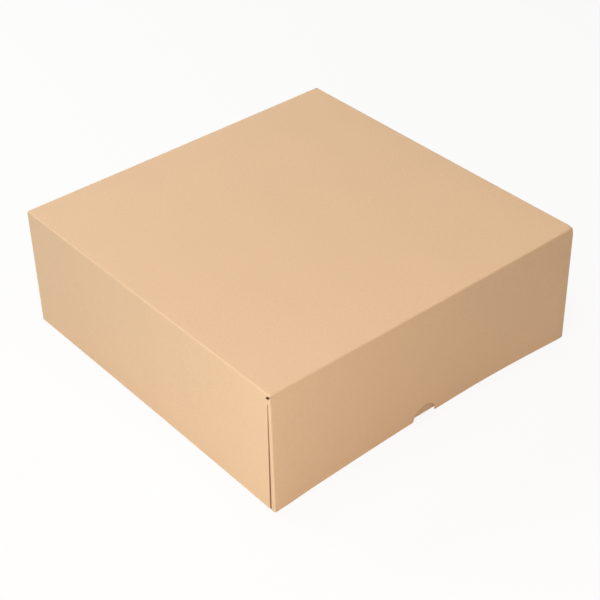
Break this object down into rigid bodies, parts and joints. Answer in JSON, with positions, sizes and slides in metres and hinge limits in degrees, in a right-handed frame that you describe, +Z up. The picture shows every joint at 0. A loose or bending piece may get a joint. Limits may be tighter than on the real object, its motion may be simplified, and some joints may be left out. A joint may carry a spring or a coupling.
{
  "type": "pastry box",
  "caption": "Square kraft card pastry box: a full-depth lid with thumb notches that lifts straight off a tray.",
  "frame": {"origin": "centre of the footprint, on the surface the box stands on", "axes": "+Z up; +X along the front wall, whose thumb notch shows in the picture; the front wall faces -Y"},
  "size_m": [0.283, 0.2838, 0.1],
  "materials": {
    "lid_card": "smooth matte kraft card",
    "tray_card": "smooth matte kraft card"
  },
  "bodies": {
    "tray": {"tray": "tray_card"},
    "lid": {"lid": "lid_card"}
  },
  "joints": [
    {"name": "lid_lift", "type": "slide", "parent": "tray", "child": "lid", "axis": [0, 0, 1], "range_m": [0, 0.11]}
  ]
}
